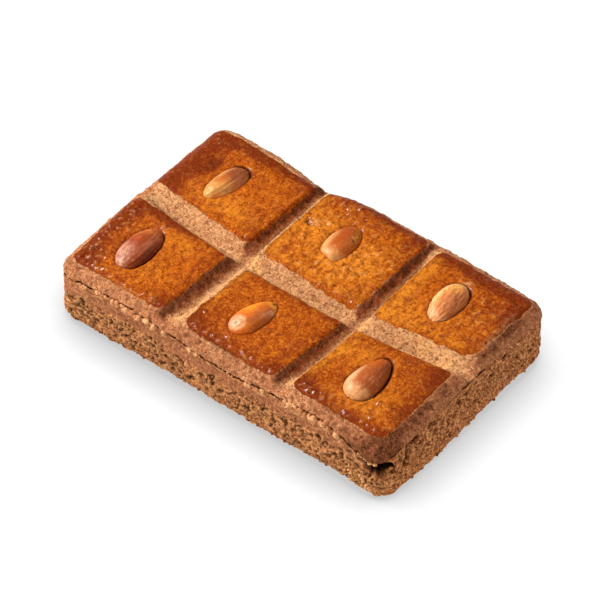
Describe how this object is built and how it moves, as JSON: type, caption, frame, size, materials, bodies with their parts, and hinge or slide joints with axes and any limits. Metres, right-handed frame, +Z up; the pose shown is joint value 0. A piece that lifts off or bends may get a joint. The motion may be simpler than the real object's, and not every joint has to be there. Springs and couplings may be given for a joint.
{
  "type": "filled speculaas",
  "caption": "Rectangular slab of filled spiced biscuit: a crumbly bottom layer, and a top sheet pressed into glazed squares, each with a whole almond.",
  "frame": {"origin": "middle of the underside", "axes": "+X along the long edge, +Y along the short edge, +Z up through the layers"},
  "size_m": [0.1601, 0.1007, 0.0334],
  "materials": {
    "crumb": "baked spiced dough, brown, dry and crumbly with small dark pits",
    "crust": "baked spiced dough, matte tan in the grooves and at the rim, with an orange-brown egg glaze on the squares",
    "almond": "blanched and glazed almond, tan to red-brown, with a soft gloss"
  },
  "bodies": {
    "root": {"dough_base": "crumb", "dough_lid": "crust", "almond_1": "almond", "almond_2": "almond", "almond_3": "almond", "almond_4": "almond", "almond_5": "almond", "almond_6": "almond"}
  },
  "joints": []
}
